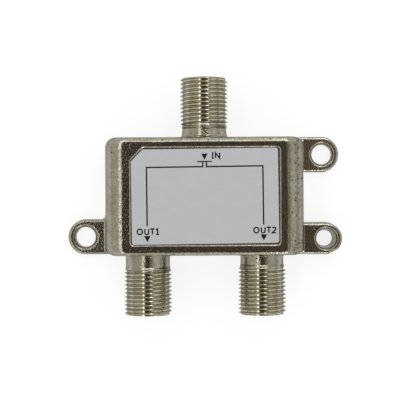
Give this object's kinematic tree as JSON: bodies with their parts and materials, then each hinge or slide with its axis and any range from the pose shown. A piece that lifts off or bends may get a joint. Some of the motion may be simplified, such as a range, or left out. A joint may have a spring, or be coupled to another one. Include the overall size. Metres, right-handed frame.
{
  "type": "coaxial splitter",
  "caption": "Flat die-cast coaxial signal splitter with threaded ports on two edges, side mounting ears and a recessed front label.",
  "frame": {"origin": "middle of the back plane, which is also the middle of the overall box's base", "axes": "+Z points out of the labelled front, +Y along the input port, +X to the right of the label"},
  "size_m": [0.0556, 0.0468, 0.015],
  "materials": {
    "nickel_plate": "warm nickel plate over a finely grained zinc die casting, half bright",
    "tinned_steel": "tinned pressed steel",
    "label_film": "satin grey film with black print",
    "insulator_plastic": "ivory moulded plastic",
    "spring_bronze": "bright spring strip",
    "solder": "smooth flowed solder",
    "board_laminate": "bare pressed laminate",
    "ferrite": "matt sintered ferrite",
    "enamelled_copper": "clear enamel over copper",
    "diode_plastic": "moulded black",
    "resistor_body": "dark glazed chip",
    "capacitor_ceramic": "tan ceramic chip"
  },
  "bodies": {
    "root": {"housing": "nickel_plate", "back_cover": "tinned_steel", "front_label": "label_film", "in_insulator": "insulator_plastic", "out1_insulator": "insulator_plastic", "out2_insulator": "insulator_plastic", "in_contact": "spring_bronze", "out1_contact": "spring_bronze", "out2_contact": "spring_bronze", "in_solder": "solder", "out1_solder": "solder", "out2_solder": "solder", "left_ground_solder": "solder", "right_ground_solder": "solder", "circuit_board": "board_laminate", "matching_core": "ferrite", "splitting_core": "ferrite", "out1_choke_core": "ferrite", "out2_choke_core": "ferrite", "matching_winding": "enamelled_copper", "splitting_winding": "enamelled_copper", "out1_choke_winding": "enamelled_copper", "out2_choke_winding": "enamelled_copper", "out1_diode": "diode_plastic", "out2_diode": "diode_plastic", "balance_resistor": "resistor_body", "in_capacitor": "capacitor_ceramic", "out1_capacitor": "capacitor_ceramic", "out2_capacitor": "capacitor_ceramic"}
  },
  "joints": []
}
